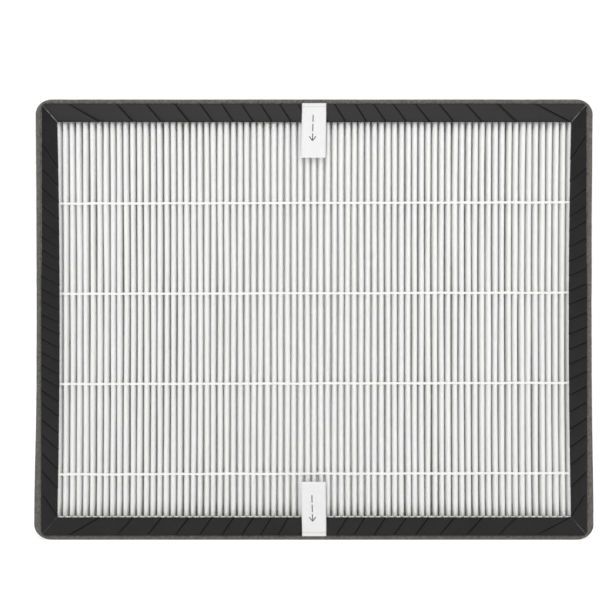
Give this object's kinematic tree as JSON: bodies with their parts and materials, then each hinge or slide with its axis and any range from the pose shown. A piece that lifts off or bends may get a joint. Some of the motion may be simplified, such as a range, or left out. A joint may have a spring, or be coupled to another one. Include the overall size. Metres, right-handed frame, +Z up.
{
  "type": "air purifier filter cartridge",
  "caption": "Flat pleated particle filter cartridge with glue spacer beads, a mitred black border, a felt edge gasket and ribbon pull tabs.",
  "frame": {"origin": "middle of the bottom edge of the upright cartridge, half way through its overall depth", "axes": "+X to the right along the width, seen from the front; +Y from the front face to the rear face; +Z up, along the pleats"},
  "size_m": [0.345, 0.03, 0.274],
  "materials": {
    "filter_paper": "matte",
    "bead_glue": "satin",
    "potting": "matte",
    "board": "matte",
    "border_skin": "satin",
    "gasket_felt": "matte",
    "ribbon": "satin"
  },
  "bodies": {
    "cartridge": {"pleat_pack": "filter_paper", "front_bead_1": "bead_glue", "front_bead_2": "bead_glue", "front_bead_3": "bead_glue", "front_bead_4": "bead_glue", "rear_bead_1": "bead_glue", "rear_bead_2": "bead_glue", "rear_bead_3": "bead_glue", "rear_bead_4": "bead_glue", "top_seal": "potting", "bottom_seal": "potting", "left_seal": "potting", "right_seal": "potting", "top_board": "board", "bottom_board": "board", "left_board": "board", "right_board": "board", "top_front_border": "border_skin", "bottom_front_border": "border_skin", "left_front_border": "border_skin", "right_front_border": "border_skin", "top_rear_border": "border_skin", "bottom_rear_border": "border_skin", "left_rear_border": "border_skin", "right_rear_border": "border_skin", "left_gasket_run": "gasket_felt", "right_gasket_run": "gasket_felt", "top_tab_tail": "ribbon", "bottom_tab_tail": "ribbon"},
    "top_tab": {"top_tab": "ribbon"},
    "bottom_tab": {"bottom_tab": "ribbon"}
  },
  "joints": [
    {"name": "top_tab_lift", "type": "hinge", "parent": "cartridge", "child": "top_tab", "pos_m": [0, -0.01155, 0.2712], "axis": [-1, 0, 0], "range_deg": [0, 150]},
    {"name": "bottom_tab_lift", "type": "hinge", "parent": "cartridge", "child": "bottom_tab", "pos_m": [0, -0.01155, 0.0028], "axis": [1, 0, 0], "range_deg": [0, 85], "stiffness_Nm_per_rad": 0.0006}
  ]
}
